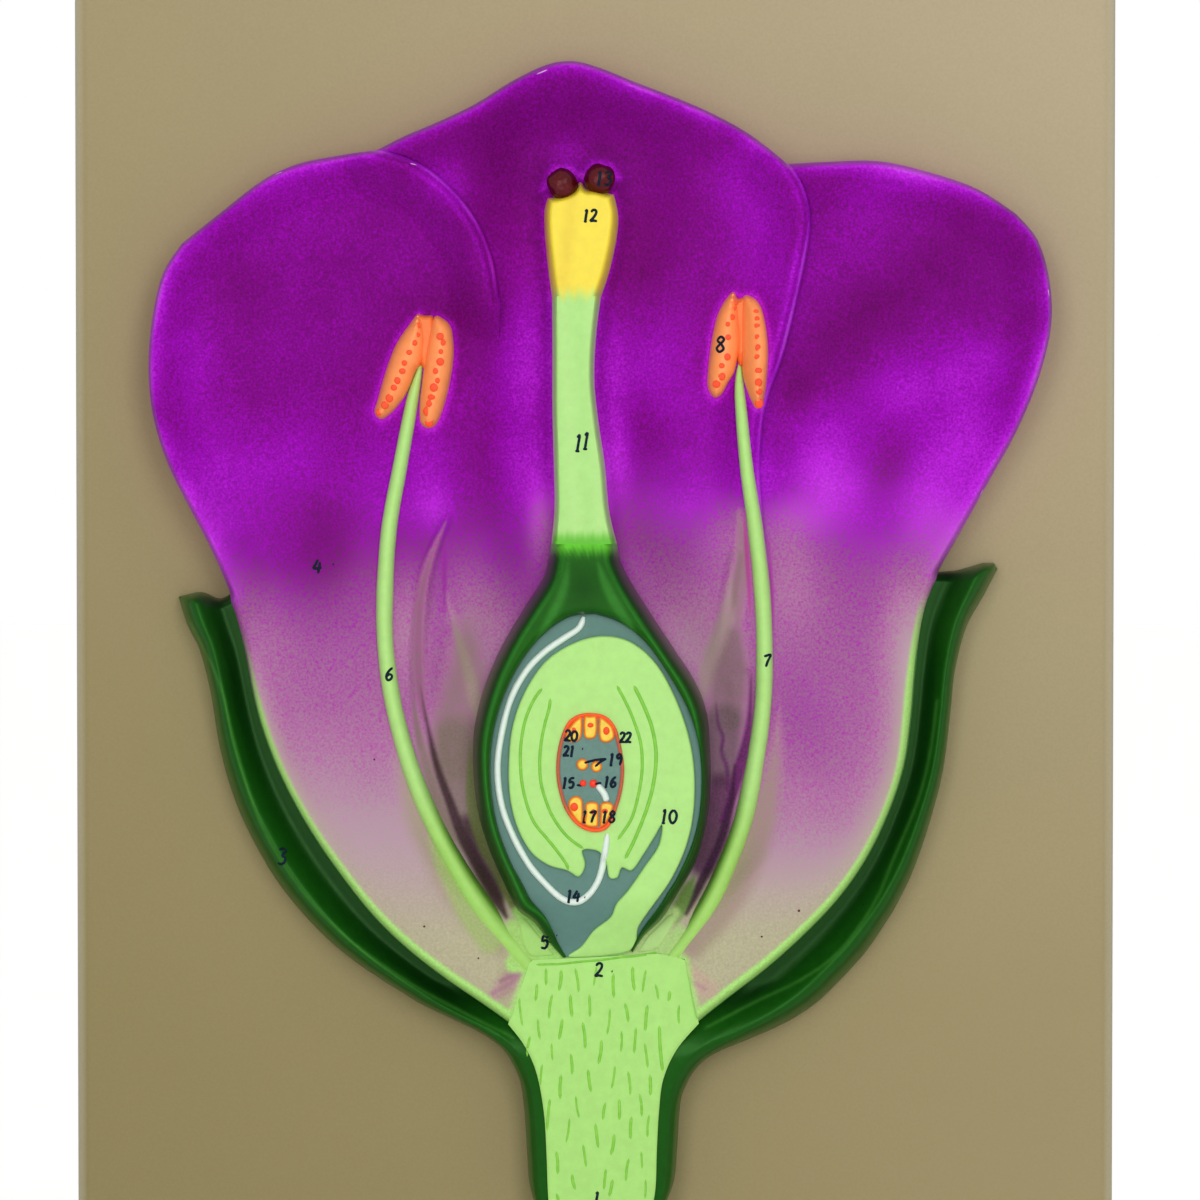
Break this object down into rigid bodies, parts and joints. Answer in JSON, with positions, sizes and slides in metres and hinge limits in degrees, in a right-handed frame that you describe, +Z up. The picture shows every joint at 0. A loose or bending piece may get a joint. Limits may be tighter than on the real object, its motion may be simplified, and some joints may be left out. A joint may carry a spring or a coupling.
{
  "type": "botanical flower model",
  "caption": "Wall relief model of a flower cut open along its length: sepals, petals, stamens, and a pistil with its ovary, ovule and embryo sac in section, on a board with hangers.",
  "frame": {"origin": "middle of the board's bottom edge, half way through its thickness", "axes": "+X to the right seen from the front, +Z up the board, +Y from the flower into the wall, so the relief faces -Y"},
  "size_m": [0.3, 0.0474, 0.4],
  "materials": {
    "board_paint": "matte",
    "petal_purple": "satin",
    "sepal_green": "satin",
    "cut_green": "satin",
    "ovary_green": "gloss",
    "chamber_grey": "matte",
    "anther_orange": "satin",
    "cell_yellow": "satin",
    "nucleus_red": "satin",
    "tube_white": "satin",
    "stigma_yellow": "satin",
    "pollen_red": "gloss",
    "number_ink": "matte",
    "screw_steel": "satin",
    "hanger_steel": "satin"
  },
  "bodies": {
    "board": {"backing_board": "board_paint", "stem_core": "cut_green", "left_sepal": "sepal_green", "right_sepal": "sepal_green", "left_petal": "petal_purple", "middle_petal": "petal_purple", "right_petal": "petal_purple", "left_filament": "cut_green", "left_anther": "anther_orange", "right_filament": "cut_green", "right_anther": "anther_orange", "left_nectary": "cut_green", "right_nectary": "cut_green", "ovary_wall": "ovary_green", "ovary_chamber": "chamber_grey", "ovule": "cut_green", "embryo_sac": "chamber_grey", "antipodal_cells": "cell_yellow", "egg_apparatus": "cell_yellow", "polar_nuclei": "cell_yellow", "male_gametes": "nucleus_red", "pollen_tube": "tube_white", "style": "cut_green", "stigma": "stigma_yellow", "pollen_grains": "pollen_red", "relief_screws": "screw_steel", "left_hanger_strap": "hanger_steel", "right_hanger_strap": "hanger_steel", "hanger_screws": "screw_steel"},
    "left_ring": {"left_hanging_ring": "hanger_steel"},
    "right_ring": {"right_hanging_ring": "hanger_steel"}
  },
  "joints": [
    {"name": "left_ring_swing", "type": "hinge", "parent": "board", "child": "left_ring", "pos_m": [-0.116, 0.0087, 0.33], "axis": [1, 0, 0], "range_deg": [0, 180]},
    {"name": "right_ring_swing", "type": "hinge", "parent": "board", "child": "right_ring", "pos_m": [0.116, 0.0087, 0.33], "axis": [1, 0, 0], "range_deg": [0, 180]}
  ]
}
